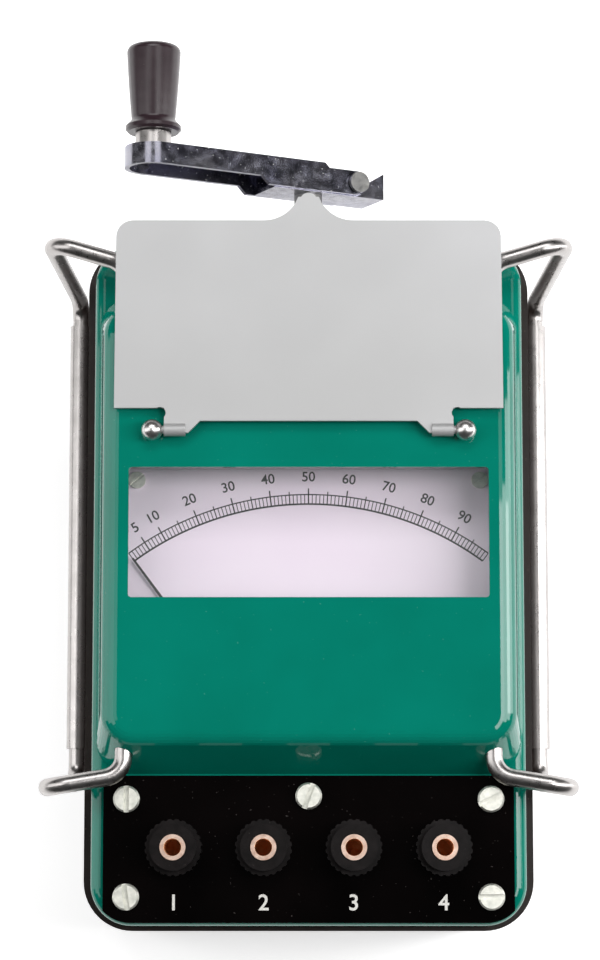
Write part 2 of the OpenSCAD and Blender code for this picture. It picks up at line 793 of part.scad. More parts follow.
// The dial cover from its hinge axis to its finger tab
module lid_outline() {
  shoulder = 5.2;
  notch_r = 1.4;
  tip_r = 2;
  tip_y = lid_l + tab_l - tip_r;
  scoop_r = tab_half - tip_r;
  difference() {
    union() {
      translate([-lid_w / 2, shoulder]) square([lid_w, lid_l - shoulder - lid_r]);
      translate([lid_r - lid_w / 2, lid_l - 2 * lid_r]) square([lid_w - 2 * lid_r, 2 * lid_r]);
      for (s = [-1, 1]) translate([s * (lid_w / 2 - lid_r), lid_l - lid_r]) circle(r = lid_r);
      for (s = [0, 1]) mirror([s, 0]) polygon([
        [0, 2.1], [ear_out - 1.5 * ear_w, 2.1], [ear_out - ear_w, -knuckle_r / 2],
        [ear_out, -knuckle_r / 2], [ear_out, shoulder + 1], [0, shoulder + 1]
      ]);
      translate([-tab_half, lid_l - eps]) square([2 * tab_half, tip_y - lid_l + 1]);
      translate([0, tip_y]) circle(r = tip_r);
    }
    for (s = [0, 1]) mirror([s, 0]) {
      translate([ear_out + notch_r - 0.4, shoulder - notch_r + 0.2]) circle(r = notch_r);
      translate([tab_half, lid_l + scoop_r]) circle(r = scoop_r);
      translate([tab_half - scoop_r + tip_r / 2, tip_y - 0.5]) square([scoop_r, 2 * tip_r]);
    }
  }
}

module dial_cover() {
  color([0.78, 0.78, 0.77]) translate([0, hinge_y, hinge_z]) rotate([-lid_tilt, 0, 0]) {
    translate([0, 0, -lid_t / 2]) linear_extrude(lid_t) lid_outline();
    for (s = [0, 1]) mirror([s, 0, 0]) {
      rod_x(0, 0, ear_out - ear_w + 0.6, ear_out, knuckle_r);
      rod_x(0, 0, ear_out - 1, hinge_x, hinge_pin_r);
    }
  }
}

// Bails

// A straight length of wire from p to q
module wire(p, q) {
  d = q - p;
  translate(p) rotate([0, acos(d[2] / norm(d)), atan2(d[1], d[0])]) cylinder(r = wire_r, h = norm(d));
}

// Unit vector from a to b
function along(a, b) = (b - a) / norm(b - a);

// Length of wire that the bend at b takes from each side
function bend_cut(a, b, c) = bend_r * tan(acos(along(a, b) * along(b, c)) / 2);

// The bend of a wire that comes from a, turns at b and goes to c, a little thicker than the wire
module bend(a, b, c) {
  d1 = along(a, b);
  d2 = along(b, c);
  n = cross(d1, d2) / norm(cross(d1, d2));
  x = cross(d1, n);
  centre = b - d1 * bend_cut(a, b, c) - x * bend_r;
  frame = [for (k = [0:2]) [x[k], d1[k], n[k], centre[k]]];
  multmatrix(frame) rotate_extrude(angle = acos(d1 * d2))
    translate([bend_r, 0]) circle(r = wire_r + bend_swell);
}

// Corners of the bail on side s, from its near pivot to its far one
function bail_path(s) =
  let (near = near_face - pivot_near, far = far_face + pivot_far, top = bail_z + shoulder_rise)
  [
    [s * bail_x, near_face + pivot_inside, bail_z],
    [s * bail_x, near, bail_z],
    [s * shoulder_x, near - splay_near, top],
    [s * grip_x, near, grip_z],
    [s * grip_x, far, grip_z],
    [s * shoulder_x, far + splay_far, top],
    [s * bail_x, far, bail_z],
    [s * bail_x, far_face - pivot_inside, bail_z]
  ];

module bail_wire(s) {
  p = bail_path(s);
  last = len(p) - 1;
  color([0.8, 0.8, 0.8]) {
    for (i = [0:last - 1]) {
      d = along(p[i], p[i + 1]);
      from = i == 0 ? 0 : bend_cut(p[i - 1], p[i], p[i + 1]) - bend_lap;
      to = i == last - 1 ? 0 : bend_cut(p[i], p[i + 1], p[i + 2]) - bend_lap;
      wire(p[i] + from * d, p[i + 1] - to * d);
    }
    for (i = [1:last - 1]) bend(p[i - 1], p[i], p[i + 1]);
  }
}

module bail_sleeve(s) {
  y0 = near_face - pivot_near + sleeve_near;
  y1 = far_face + pivot_far - sleeve_far;
  color([0.78, 0.78, 0.78]) difference() {
    rod_y(s * grip_x, grip_z, y0, y1, sleeve_r);
    rod_y(s * grip_x, grip_z, y0 - 1, y1 + 1, wire_r + run_fit);
    translate([s * (grip_x + sleeve_r) - 1, y0 - 1, grip_z - seam_w / 2]) cube([2, y1 - y0 + 2, seam_w]);
  }
}

module bail_collars(s) {
  inset = pivot_inside - 1.5;
  color("gray") difference() {
    union() {
      rod_y(s * bail_x, bail_z, near_face + inset - collar_t, near_face + inset, wire_r + collar_out);
      rod_y(s * bail_x, bail_z, far_face - inset, far_face - inset + collar_t, wire_r + collar_out);
    }
    rod_y(s * bail_x, bail_z, near_face, far_face, wire_r);
  }
}

// Crank

// Places a part whose X runs along the crank arm, from the crankshaft to the grip
module on_crank() {
  translate([0, 0, crank_z]) rotate([0, 180 + crank_angle, 0]) children();
}

module crank_bush() {
  flange = 2;
  inside = wall_y - wall;
  color([0.7, 0.55, 0.3]) difference() {
    union() {
      rod_y(0, crank_z, inside, wall_y + eps, shaft_r + bush_t - run_fit);
      rod_y(0, crank_z, wall_y, wall_y + flange, shaft_r + bush_t + 1.5);
      rod_y(0, crank_z, inside - 0.75 * flange, inside, shaft_r + bush_t + 1);
    }
    rod_y(0, crank_z, inside - flange, wall_y + flange + 1, shaft_r + run_fit);
  }
}

module crankshaft() {
  end = bracket_y + crank_t + hub_nut_t + 0.6;
  color([0.75, 0.75, 0.75]) {
    rod_y(0, crank_z, near_plate - plate_t / 2, bracket_y, shaft_r);
    rod_y(0, crank_z, bracket_y, end, shaft_r - shaft_step);
  }
}

// A channel whose flanges rise again behind the fold pin
module hub_bracket() {
  top = bracket_y + bracket_d;
  dip = fold_in + fold_r;
  color([0.82, 0.82, 0.82]) on_crank() difference() {
    union() {
      for (s = [0, 1]) mirror([0, 0, s]) translate([0, 0, bracket_w / 2 - crank_t])
        linear_extrude(crank_t) polygon([
          [-bracket_back, bracket_y], [bracket_front, bracket_y], [bracket_front, top], [-fold_in, top],
          [-dip, top - 2 * crank_t], [-bracket_back, bracket_y + bracket_end]
        ]);
      translate([-bracket_back, bracket_y, -bracket_w / 2])
        cube([bracket_back + bracket_front, crank_t, bracket_w]);
    }
    rod_y(0, 0, bracket_y - 1, bracket_y + crank_t + 1, shaft_r - shaft_step);
    translate([-fold_in, fold_y, -bracket_w]) cylinder(r = fold_pin_r, h = 2 * bracket_w);
  }
}

module hub_nut() {
  corner = bracket_w / 2 - crank_t + 0.4;
  color([0.75, 0.75, 0.75]) on_crank() difference() {
    facing(bracket_y + crank_t + hub_nut_t) linear_extrude(hub_nut_t) circle(r = corner, $fn = 6);
    rod_y(0, 0, bracket_y, arm_y, shaft_r - shaft_step);
  }
}

module fold_pin() {
  head = 1;
  half = arm_w / 2 + rest_gap;
  color([0.78, 0.78, 0.78]) on_crank() translate([-fold_in, fold_y, 0]) {
    translate([0, 0, -half - eps]) cylinder(r = fold_pin_r, h = 2 * (half + eps));
    for (s = [0, 1]) mirror([0, 0, s]) translate([0, 0, half]) cylinder(r = fold_pin_r + 1.1, h = head);
  }
}

// Flange of the arm, deep at the hub and shallow at the grip, round at the fold pin
module arm_flange() {
  deep = arm_y - arm_deep;
  shallow = arm_y - arm_shallow;
  inside = arm_y - crank_t;
  difference() {
    union() {
      polygon([
        [-fold_in, deep], [arm_step, deep], [arm_step + arm_deep - arm_shallow, shallow],
        [crank_l, shallow], [crank_l, arm_y], [web_from, arm_y], [web_from - crank_t, inside],
        [-fold_in, inside]
      ]);
      translate([-fold_in, fold_y]) circle(r = fold_r);
    }
    translate([-fold_in, fold_y]) circle(r = fold_pin_r + run_fit);
  }
}

module crank_arm() {
  color([0.82, 0.82, 0.82]) on_crank() difference() {
    union() {
      for (s = [0, 1]) mirror([0, 0, s]) translate([0, 0, arm_w / 2 - crank_t])
        linear_extrude(crank_t) arm_flange();
      facing(arm_y) linear_extrude(crank_t) {
        translate([web_from, -arm_w / 2]) square([crank_l - web_from, arm_w]);
        translate([crank_l, 0]) circle(r = arm_w / 2);
      }
      facing(arm_y) linear_extrude(arm_shallow) difference() {
        translate([crank_l, 0]) circle(r = arm_w / 2);
        translate([crank_l, 0]) circle(r = arm_w / 2 - crank_t);
        translate([crank_l - arm_w, -arm_w]) square([arm_w, 2 * arm_w]);
      }
    }
    rod_y(crank_l, 0, arm_y - crank_t - 1, arm_y + 1, spindle_r);
  }
}

// Depth of the recess in the end of the grip and of the rivet head in it
grip_recess = 2.4;
rivet_h = 0.8;

module grip_spindle() {
  inside = arm_y - crank_t;
  rivet = arm_y + grip_tip - grip_recess + rest_gap;
  color([0.78, 0.78, 0.78]) on_crank() {
    rod_y(crank_l, 0, inside - crank_t, inside, spindle_r + 1.5);
    rod_y(crank_l, 0, inside, rivet, spindle_r);
    rod_y(crank_l, 0, arm_y, arm_y + collar_h, spindle_r + 1.9);
    rod_y(crank_l, 0, rivet, rivet + rivet_h, spindle_r + 0.9);
  }
}

// Half section of the grip: a ring at its foot, a waist, a swelling side and a round end
function grip_section() =
  let (
    bore = spindle_r + run_fit,
    ring = grip_base + 2.2,
    waist = grip_base + 3.4,
    round = 1.6,
    top = grip_tip - round,
    swell = knob_top_r - knob_waist_r,
    well = spindle_r + 1.6
  )
  concat(
    [[bore, grip_base], [knob_ring_r - 0.6, grip_base], [knob_ring_r, grip_base + 0.6]],
    [[knob_ring_r, grip_base + 1.5], [knob_ring_r - 0.7, ring]],
    [for (i = [0:4]) [knob_waist_r + 0.5 * (1 - sin(i * 22.5)), ring + (waist - ring) * i / 4]],
    [for (i = [1:6]) let (f = i / 6) [knob_waist_r + swell * f * (1.3 - 0.3 * f), waist + (top - waist) * f]],
    [for (i = [1:5]) [knob_top_r - round * (1 - cos(i * 18)), top + round * sin(i * 18)]],
    [[well, grip_tip], [well, grip_tip - grip_recess], [bore, grip_tip - grip_recess]]
  );

module crank_grip() {
  color([0.06, 0.05, 0.05]) on_crank() translate([crank_l, arm_y, 0]) rotate([-90, 0, 0])
    rotate_extrude() polygon(grip_section());
}

// Gear train

// Involute function of an angle, in degrees
function inv(a) = tan(a) * 180 / PI - a;

// Outline of a spur gear with z teeth, the first one centred at angle turn
function gear_points(z, turn) =
  let (
    pitch = gear_m * z / 2,
    base = pitch * cos(pressure),
    tip = pitch + gear_head * gear_m,
    root = pitch - gear_foot * gear_m,
    half = 90 / z - backlash / 2 / pitch * 180 / PI,
    start = max(base, root),
    radii = concat([root], [for (i = [0:3]) start + (tip - start) * i / 3]),
    width = [for (r = radii) half + inv(pressure) - inv(acos(min(1, base / max(r, base))))]
  )
  [for (k = [0:z - 1], side = [-1, 1], i = [0:4])
    let (j = side < 0 ? i : 4 - i, a = turn + k * 360 / z + side * width[j])
    radii[j] * [cos(a), sin(a)]];

// Angle of the first tooth of a gear with zb teeth that meshes with a gear of za teeth
function mesh_turn(turn_a, za, zb, dir) = dir + 180 - (turn_a - dir) * za / zb + 180 / zb;

second_turn = mesh_turn(0, crank_teeth, pinion_teeth, second_dir);
rotor_turn = mesh_turn(0, second_teeth, pinion_teeth, rotor_dir);

module spur(z, turn, w) {
  linear_extrude(w) polygon(gear_points(z, turn));
}

// Wheel of z teeth whose far side lies at y, with five holes in its web and a bore of radius bore;
// its hub runs from y0 to y1
module wheel(z, y, y0, y1, bore) {
  web_in = bore + hub_t;
  web_out = gear_m * (z / 2 - gear_foot) - rim_t;
  hole_r = min((web_out - web_in) / 2 - 0.5, 3.6);
  difference() {
    union() {
      facing(y) spur(z, 0, wheel_w);
      rod_y(0, 0, y0, y1, web_in);
    }
    rod_y(0, 0, y0 - 1, y1 + 1, bore);
    for (k = [0:4]) rotate([0, 72 * k, 0])
      rod_y((web_in + web_out) / 2, 0, y - wheel_w - 1, y + 1, hole_r);
  }
}

module crank_wheel() {
  color([0.75, 0.6, 0.3]) translate([0, 0, crank_z])
    wheel(crank_teeth, first_wheel_y, first_wheel_y - wheel_w - hub_t, first_wheel_y, shaft_r);
}

module second_arbor() {
  color([0.75, 0.75, 0.75]) translate([second_x, 0, second_z]) {
    rod_y(0, 0, near_plate - plate_t / 2, far_plate, arbor_r);
    facing(first_wheel_y + 0.5) spur(pinion_teeth, second_turn, wheel_w + 1);
  }
}

module second_wheel() {
  color([0.75, 0.6, 0.3]) translate([second_x, 0, second_z])
    wheel(second_teeth, second_wheel_y, second_wheel_y - wheel_w, second_wheel_y + wheel_gap, arbor_r);
}

// A gear plate whose far side lies at y, with a bent foot on the case floor
module gear_plate(y) {
  color([0.6, 0.6, 0.62]) difference() {
    union() {
      translate([-plate_w / 2, y - plate_t, floor_z]) cube([plate_w, plate_t, plate_top - floor_z]);
      translate([-plate_w / 2, y - plate_foot, floor_z]) cube([plate_w, plate_foot, plate_t]);
    }
    rod_y(0, crank_z, y - plate_t - 1, y + 1, shaft_r + run_fit);
    rod_y(second_x, second_z, y - plate_t - 1, y + 1, arbor_r + run_fit);
    pillar_places() rod_y(0, 0, y - plate_t - 1, y + 1, screw_r + run_fit);
    children();
  }
}

module pillar_places() {
  for (x = [-1, 1], z = [floor_z + 3 * pillar_r, plate_top - pillar_r - plate_t])
    translate([x * (plate_w / 2 - pillar_r - 1), 0, z]) children();
}

module gear_plate_far() {
  gear_plate(far_plate);
}

module gear_plate_near() {
  gear_plate(near_plate)
    rod_y(rotor_x, rotor_z, near_plate - plate_t - 1, near_plate + 1, arbor_r + run_fit);
}

module gear_pillars() {
  color([0.7, 0.7, 0.7]) pillar_places() {
    rod_y(0, 0, near_plate, far_plate - plate_t, pillar_r);
    rod_y(0, 0, near_plate - plate_t, near_plate, screw_r);
    rod_y(0, 0, far_plate - plate_t, far_plate, screw_r);
  }
}

// Generator

module rotor_shaft() {
  color([0.75, 0.75, 0.75]) translate([rotor_x, 0, rotor_z]) {
    rod_y(0, 0, end_y - 1, second_wheel_y + 0.5, arbor_r);
    facing(second_wheel_y + 0.5) spur(pinion_teeth, rotor_turn, wheel_w + 1);
  }
}

module armature() {
  slots = 8;
  slot_r = 2.6;
  mouth = 1.6;
  depth = armature_r - 5;
  color([0.45, 0.45, 0.47]) translate([rotor_x, 0, rotor_z]) difference() {
    rod_y(0, 0, armature_near, armature_far, armature_r);
    rod_y(0, 0, armature_near - 1, armature_far + 1, arbor_r);
    for (k = [0:slots - 1]) rotate([0, k * 360 / slots, 0]) {
      rod_y(depth, 0, armature_near - 1, armature_far + 1, slot_r);
      translate([depth, armature_near - 1, -mouth / 2]) cube([armature_r, armature_l + 2, mouth]);
    }
  }
}

module windings() {
  color([0.7, 0.35, 0.15]) translate([rotor_x, 0, rotor_z]) difference() {
    union() {
      rod_y(0, 0, armature_far, armature_far + head_l, armature_r - 2);
      rod_y(0, 0, armature_near - head_l, armature_near, armature_r - 2);
    }
    rod_y(0, 0, armature_near - head_l - 1, armature_far + head_l + 1, 2 * arbor_r);
  }
}

module commutator() {
  bars = 8;
  groove = 0.6;
  y1 = yoke_end - 1;
  y0 = y1 - commutator_l;
  color([0.75, 0.45, 0.2]) translate([rotor_x, 0, rotor_z]) difference() {
    rod_y(0, 0, y0, y1, commutator_r);
    rod_y(0, 0, y0 - 1, y1 + 1, arbor_r);
    for (k = [0:bars - 1]) rotate([0, k * 360 / bars, 0])
      translate([commutator_r - 1, y0 - 1, -groove / 2]) cube([2, commutator_l + 2, groove]);
  }
}

module field_yoke() {
  color([0.5, 0.5, 0.52]) translate([rotor_x, 0, rotor_z]) difference() {
    rod_y(0, 0, yoke_end, near_plate - plate_t, yoke_r);
    rod_y(0, 0, yoke_end - 1, near_plate, yoke_r - yoke_t);
  }
}

module field_magnets() {
  outer = yoke_r - yoke_t;
  over = 2;
  gap = 10;
  color([0.35, 0.35, 0.38]) translate([rotor_x, 0, rotor_z]) difference() {
    rod_y(0, 0, armature_near - over, armature_far + over, outer);
    rod_y(0, 0, armature_near - over - 1, armature_far + over + 1, outer - magnet_t);
    translate([-gap / 2, armature_near - over - 1, -outer - 1])
      cube([gap, armature_l + 2 * over + 2, 2 * outer + 2]);
  }
}

module end_bracket() {
  color([0.6, 0.6, 0.62]) translate([rotor_x, 0, rotor_z]) difference() {
    union() {
      rod_y(0, 0, end_y, end_y + end_t, yoke_r);
      for (k = [0:3]) rotate([0, 45 + 90 * k, 0])
        rod_y(yoke_r - yoke_t, 0, end_y + end_t / 2, yoke_end, screw_r);
    }
    rod_y(0, 0, end_y - 1, end_y + end_t + 1, arbor_r + run_fit);
  }
}

module brushes() {
  size = [9, 6, 4];
  color([0.3, 0.3, 0.3]) translate([rotor_x, 0, rotor_z]) for (s = [0, 1]) mirror([s, 0, 0])
    translate([commutator_r + run_fit, end_y + end_t, -size[2] / 2]) cube(size);
}

// Meter movement

module pole_ring() {
  color([0.4, 0.4, 0.42]) translate([0, pivot_y, pole_low]) difference() {
    cylinder(r = pole_r, h = core_h);
    translate([0, 0, -1]) cylinder(r = pole_bore, h = core_h + 2);
    for (x = [-pillar_x, pillar_x])
      translate([x, 0, core_h - tap_d]) cylinder(r = screw_r + run_fit, h = tap_d + 1);
  }
}

module meter_core() {
  color([0.5, 0.5, 0.52]) translate([0, pivot_y, pole_low]) {
    cylinder(r = core_r, h = core_h);
    intersection() {
      cylinder(r = pole_bore, h = core_h);
      translate([-1.2, -pole_bore, core_h / 2 - 2]) cube([2.4, 2 * pole_bore, 4]);
    }
  }
}

// Two bridges that carry the coil pivots, one over the pole ring and one under it
module meter_bridges() {
  leg = 4;
  legs = (pole_bore + pillar_x - hanger_r) / 2;
  middle = (pole_top + pole_low) / 2;
  high = core_h / 2 + bridge_rise;
  color([0.72, 0.55, 0.3]) translate([0, pivot_y, middle]) for (s = [0, 1]) mirror([0, 0, s]) difference() {
    union() {
      translate([-legs - leg / 2, -leg / 2, high]) cube([2 * legs + leg, leg, bridge_t]);
      for (x = [-legs, legs]) translate([x - leg / 2, -leg / 2, core_h / 2])
        cube([leg, leg, bridge_rise + eps]);
    }
    translate([0, 0, high - 1]) cylinder(r = staff_r + run_fit, h = bridge_t + 2);
  }
}

module meter_pillars() {
  color([0.7, 0.7, 0.7]) for (x = [-pillar_x, pillar_x]) translate([x, pivot_y, 0]) {
    translate([0, 0, pole_top]) cylinder(r = hanger_r, h = pole_drop);
    translate([0, 0, pole_top - tap_d + tap_room]) cylinder(r = screw_r, h = tap_d - tap_room);
  }
}

// Turns a part from the middle of the scale to the rest mark at its left end
module at_zero() {
  translate([0, pivot_y, 0]) rotate(pointer_half) children();
}

module moving_coil() {
  thick = 4;
  in = core_r + 0.7;
  out = pole_bore - 0.9;
  over = 1;
  wound = over + out - in;
  staff = bridge_rise + bridge_t / 2;
  color([0.7, 0.35, 0.15]) at_zero() {
    difference() {
      translate([-out, -thick / 2, pole_low - wound]) cube([2 * out, thick, core_h + 2 * wound]);
      translate([-in, -thick, pole_low - over]) cube([2 * in, 2 * thick, core_h + 2 * over]);
    }
    translate([0, 0, pole_low - staff]) cylinder(r = staff_r, h = staff - over);
    translate([0, 0, pole_top + over]) cylinder(r = staff_r, h = pointer_z + pointer_t / 2 - pole_top - over);
  }
}

module pointer() {
  root = 0.7;
  tip = 0.25;
  color([0.05, 0.05, 0.05]) at_zero() translate([0, 0, pointer_z]) difference() {
    linear_extrude(pointer_t) {
      circle(r = 2);
      polygon([[-root, 0], [root, 0], [tip, pointer_l], [-tip, pointer_l]]);
    }
    translate([0, 0, -1]) cylinder(r = staff_r, h = 1 + pointer_t / 2);
  }
}

base_case();
base_screws();
tie_posts();
cover();
window_pane();
pane_clips();
dial_rails();
dial_plate();
dial_screws();
terminal_panel();
cover_screws();
panel_nuts();
zero_adjuster();
terminal_posts();
terminal_washers();
terminal_nuts();
clamp_washer(0);  // clamp_washer_1
clamp_washer(1);  // clamp_washer_2
clamp_washer(2);  // clamp_washer_3
clamp_washer(3);  // clamp_washer_4
clamp_cap(0);  // clamp_cap_1
clamp_cap(1);  // clamp_cap_2
clamp_cap(2);  // clamp_cap_3
clamp_cap(3);  // clamp_cap_4
hinge_studs();
dial_cover();
bail_wire(-1);  // bail_wire_left
bail_sleeve(-1);  // bail_sleeve_left
bail_collars(-1);  // bail_collars_left
bail_wire(1);  // bail_wire_right
bail_sleeve(1);  // bail_sleeve_right
bail_collars(1);  // bail_collars_right
crank_bush();
crankshaft();
hub_bracket();
hub_nut();
fold_pin();
crank_arm();
grip_spindle();
crank_grip();
gear_plate_far();
gear_plate_near();
gear_pillars();
crank_wheel();
second_arbor();
second_wheel();
rotor_shaft();
armature();
windings();
commutator();
field_yoke();
field_magnets();
end_bracket();
brushes();
pole_ring();
meter_core();
meter_bridges();
meter_pillars();
moving_coil();
pointer();
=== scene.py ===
"""Looks for the hand-cranked earth tester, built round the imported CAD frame. Lengths are in metres."""

import json
import math

import bpy
from mathutils import Matrix, Vector


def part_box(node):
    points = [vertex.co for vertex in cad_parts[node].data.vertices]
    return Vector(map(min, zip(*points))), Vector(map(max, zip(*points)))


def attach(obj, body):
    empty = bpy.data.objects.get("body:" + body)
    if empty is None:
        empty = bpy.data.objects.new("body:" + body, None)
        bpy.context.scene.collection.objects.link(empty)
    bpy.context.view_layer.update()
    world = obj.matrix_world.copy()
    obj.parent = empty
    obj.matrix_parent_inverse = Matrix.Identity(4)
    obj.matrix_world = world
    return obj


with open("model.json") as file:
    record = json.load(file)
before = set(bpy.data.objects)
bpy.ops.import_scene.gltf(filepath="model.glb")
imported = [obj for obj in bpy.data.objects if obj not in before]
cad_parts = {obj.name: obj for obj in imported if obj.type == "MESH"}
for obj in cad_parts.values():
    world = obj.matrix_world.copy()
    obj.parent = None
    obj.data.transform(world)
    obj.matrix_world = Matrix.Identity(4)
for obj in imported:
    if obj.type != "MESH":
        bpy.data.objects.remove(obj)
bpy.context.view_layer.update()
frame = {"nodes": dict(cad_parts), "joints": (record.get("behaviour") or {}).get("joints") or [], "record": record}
MM = 0.001


# Tools for materials

# Most of a noise's values lie between these two
NOISE_LOW = 0.3
NOISE_HIGH = 0.7

# Places of the mix node's colour sockets, whose names aren't unique
MIX_FACTOR, MIX_FIRST, MIX_SECOND = 0, 6, 7
MIX_RESULT = 2


def srgb(r, g, b):
    """Linear colour from 8-bit display values."""
    def linear(v):
        v = v / 255
        return v / 12.92 if v <= 0.04045 else ((v + 0.055) / 1.055) ** 2.4
    return (linear(r), linear(g), linear(b), 1.0)


class Surface:
    """A node material: a principled shader whose colour, roughness and bump vary over the piece."""

    def __init__(self, name, metallic=0.0, coat=0.0, coat_roughness=0.05, specular=0.5, alpha=1.0):
        self.material = bpy.data.materials.new(name)
        self.material.use_nodes = True
        self.tree = self.material.node_tree
        self.shader = self.tree.nodes["Principled BSDF"]
        self.coords = self.tree.nodes.new("ShaderNodeTexCoord")
        self.shader.inputs["Metallic"].default_value = metallic
        self.shader.inputs["Coat Weight"].default_value = coat
        self.shader.inputs["Coat Roughness"].default_value = coat_roughness
        self.shader.inputs["Specular IOR Level"].default_value = specular
        self.shader.inputs["Alpha"].default_value = alpha

    def link(self, out, into):
        self.tree.links.new(out, into)

    def axes(self):
        """The piece's own coordinates, one socket each for X, Y and Z."""
        node = self.tree.nodes.new("ShaderNodeSeparateXYZ")
        self.link(self.coords.outputs["Object"], node.inputs["Vector"])
        return node.outputs

    def noise(self, scale, detail=3.0, stretch=(1, 1, 1)):
        """A noise value over the piece's own coordinates, in cycles per metre."""
        mapping = self.tree.nodes.new("ShaderNodeMapping")
        mapping.inputs["Scale"].default_value = stretch
        self.link(self.coords.outputs["Object"], mapping.inputs["Vector"])
        node = self.tree.nodes.new("ShaderNodeTexNoise")
        node.inputs["Scale"].default_value = scale
        node.inputs["Detail"].default_value = detail
        self.link(mapping.outputs["Vector"], node.inputs["Vector"])
        return node.outputs["Fac"]

    def spread(self, value, low, high, start=NOISE_LOW, end=NOISE_HIGH):
        """The value's range start to end, spread over low to high."""
        node = self.tree.nodes.new("ShaderNodeMapRange")
        node.inputs["From Min"].default_value = start
        node.inputs["From Max"].default_value = end
        node.inputs["To Min"].default_value = low
        node.inputs["To Max"].default_value = high
        self.link(value, node.inputs["Value"])
        return node.outputs["Result"]

    def math(self, operation, *values):
        """The result of a math step on sockets and numbers."""
        node = self.tree.nodes.new("ShaderNodeMath")
        node.operation = operation
        for place, value in zip(node.inputs, values):
            if isinstance(value, (int, float)):
                place.default_value = value
            else:
                self.link(value, place)
        return node.outputs["Value"]

    def colour(self, first, second, value):
        """The base colour, from the first to the second as a noise rises."""
        ramp = self.tree.nodes.new("ShaderNodeValToRGB")
        start, end = ramp.color_ramp.elements
        start.position, start.color = NOISE_LOW, first
        end.position, end.color = NOISE_HIGH, second
        self.link(value, ramp.inputs["Fac"])
        self.link(ramp.outputs["Color"], self.shader.inputs["Base Color"])

    def specks(self, colour, value, start, end):
        """Spots of another colour where the value is high, over the colour made before."""
        mix = self.tree.nodes.new("ShaderNodeMix")
        mix.data_type = "RGBA"
        base = self.shader.inputs["Base Color"]
        self.link(self.spread(value, 0.0, 1.0, start, end), mix.inputs[MIX_FACTOR])
        self.link(base.links[0].from_socket, mix.inputs[MIX_FIRST])
        mix.inputs[MIX_SECOND].default_value = colour
        self.link(mix.outputs[MIX_RESULT], base)

    def roughness(self, low, high, value):
        self.link(self.spread(value, low, high), self.shader.inputs["Roughness"])

    def bump(self, value, depth, strength):
        node = self.tree.nodes.new("ShaderNodeBump")
        node.inputs["Distance"].default_value = depth
        node.inputs["Strength"].default_value = strength
        self.link(value, node.inputs["Height"])
        self.link(node.outputs["Normal"], self.shader.inputs["Normal"])


# Materials

def make_enamel():
    s = Surface("green_enamel", coat=1.0, coat_roughness=0.03, specular=0.0)
    s.colour(srgb(0, 122, 103), srgb(1, 131, 112), s.noise(40))
    s.specks(srgb(60, 150, 130), s.noise(1300, detail=1), start=0.76, end=0.8)
    s.roughness(0.4, 0.5, s.noise(220))
    s.bump(s.noise(420, detail=2), depth=0.012 * MM, strength=0.2)
    return s.material


def make_case():
    s = Surface("case_moulding", coat=0.3, coat_roughness=0.1, specular=0.25)
    s.colour(srgb(36, 28, 26), srgb(44, 34, 31), s.noise(90))
    s.specks(srgb(78, 62, 56), s.noise(1100, detail=2), start=0.68, end=0.76)
    s.roughness(0.3, 0.42, s.noise(300))
    s.bump(s.noise(1500, detail=4), depth=0.02 * MM, strength=0.4)
    return s.material


def make_panel():
    s = Surface("panel_gloss", coat=0.5, coat_roughness=0.03, specular=0.0)
    s.colour(srgb(3, 2, 2), srgb(9, 6, 6), s.noise(45))
    s.specks(srgb(66, 62, 60), s.noise(1500, detail=1), start=0.77, end=0.8)
    s.roughness(0.4, 0.5, s.noise(400))
    s.bump(s.noise(900), depth=0.006 * MM, strength=0.2)
    return s.material


def make_chrome(name, low, high, tint=(228, 225, 223)):
    """Chrome plate of a roughness from low to high."""
    darkening = 14
    s = Surface(name, metallic=1.0)
    s.colour(srgb(*[c - darkening for c in tint]), srgb(*tint), s.noise(260))
    s.roughness(low, high, s.noise(700))
    s.bump(s.noise(2200), depth=0.004 * MM, strength=0.3)
    return s.material


def make_pitted():
    """Chrome plate that has dulled, with pale spots where the metal hardly shows."""
    spots_start, spots_end = 0.7, 0.78
    s = Surface("pitted_chrome", metallic=1.0)
    spots = s.noise(1900, detail=1)
    s.colour(srgb(136, 136, 154), srgb(164, 163, 172), s.noise(120))
    s.specks(srgb(226, 226, 224), spots, spots_start, spots_end)
    s.link(s.spread(spots, 1.0, 0.3, spots_start, spots_end), s.shader.inputs["Metallic"])
    s.roughness(0.12, 0.26, s.noise(420, detail=4))
    s.bump(s.noise(1500, detail=2), depth=0.01 * MM, strength=0.4)
    return s.material


def make_satin():
    """Sheet brushed along X."""
    s = Surface("satin_sheet", metallic=0.35)
    s.colour(srgb(181, 181, 181), srgb(190, 190, 191), s.noise(14, detail=1))
    s.roughness(0.44, 0.5, s.noise(60, detail=2))
    s.bump(s.noise(2600, detail=4, stretch=(0.25, 1, 1)), depth=0.005 * MM, strength=0.3)
    return s.material


def make_zinc():
    s = Surface("zinc_plate", metallic=1.0)
    s.colour(srgb(212, 213, 204), srgb(242, 241, 232), s.noise(700))
    s.roughness(0.46, 0.6, s.noise(1200))
    s.bump(s.noise(3200), depth=0.01 * MM, strength=0.5)
    return s.material


def make_brass(name, first, second, low, high):
    """Brass or copper, of a roughness from low to high."""
    s = Surface(name, metallic=1.0)
    s.colour(srgb(*first), srgb(*second), s.noise(600))
    s.roughness(low, high, s.noise(900))
    s.bump(s.noise(3000), depth=0.006 * MM, strength=0.4)
    return s.material


